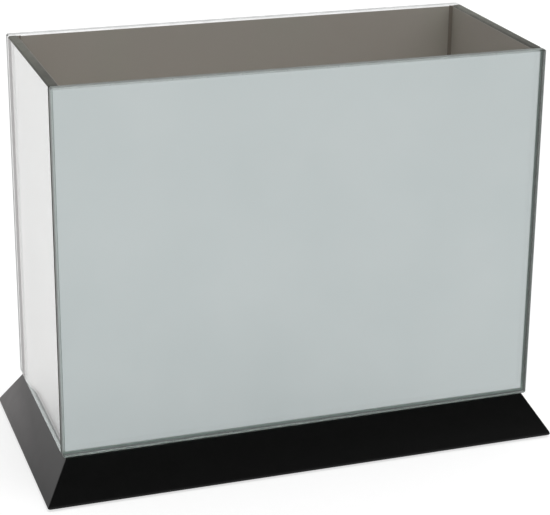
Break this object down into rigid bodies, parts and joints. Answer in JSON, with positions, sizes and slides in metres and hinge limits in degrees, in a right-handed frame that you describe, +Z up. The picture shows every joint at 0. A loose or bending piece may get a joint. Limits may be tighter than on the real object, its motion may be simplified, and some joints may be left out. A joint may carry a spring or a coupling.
{
  "type": "mirrored glass display box",
  "caption": "Open-topped rectangular box of silvered mirror glass, painted grey-brown inside, bonded to a bevelled black lacquered plinth, for displaying flowers, plants or objects.",
  "frame": {"origin": "middle of the footprint, on the surface that the foot pads stand on", "axes": "+X along the long side, to the right seen from the front; +Y from the front to the back; +Z up"},
  "size_m": [0.3256, 0.1576, 0.252],
  "materials": {
    "black_lacquer": "satin black lacquer on fibreboard",
    "felt": "pressed felt",
    "foam_tape": "closed-cell foam",
    "clear_glass": "clear float glass with arrised edges",
    "mirror_glass": "back-silvered float glass with flat ground, arrised edges",
    "backing_paint": "matt grey-brown mirror backing paint",
    "silicone": "smooth tooled silicone"
  },
  "bodies": {
    "root": {"plinth": "black_lacquer", "foot_pad_front_left": "felt", "foot_pad_front_right": "felt", "foot_pad_back_left": "felt", "foot_pad_back_right": "felt", "bedding_tape_front": "foam_tape", "bedding_tape_back": "foam_tape", "bedding_tape_left": "foam_tape", "bedding_tape_right": "foam_tape", "floor_pane": "clear_glass", "front_mirror": "mirror_glass", "back_mirror": "mirror_glass", "left_mirror": "mirror_glass", "right_mirror": "mirror_glass", "front_backing_paint": "backing_paint", "back_backing_paint": "backing_paint", "left_backing_paint": "backing_paint", "right_backing_paint": "backing_paint", "joint_seal_front_left": "silicone", "joint_seal_front_right": "silicone", "joint_seal_back_left": "silicone", "joint_seal_back_right": "silicone", "floor_seal": "silicone"}
  },
  "joints": []
}
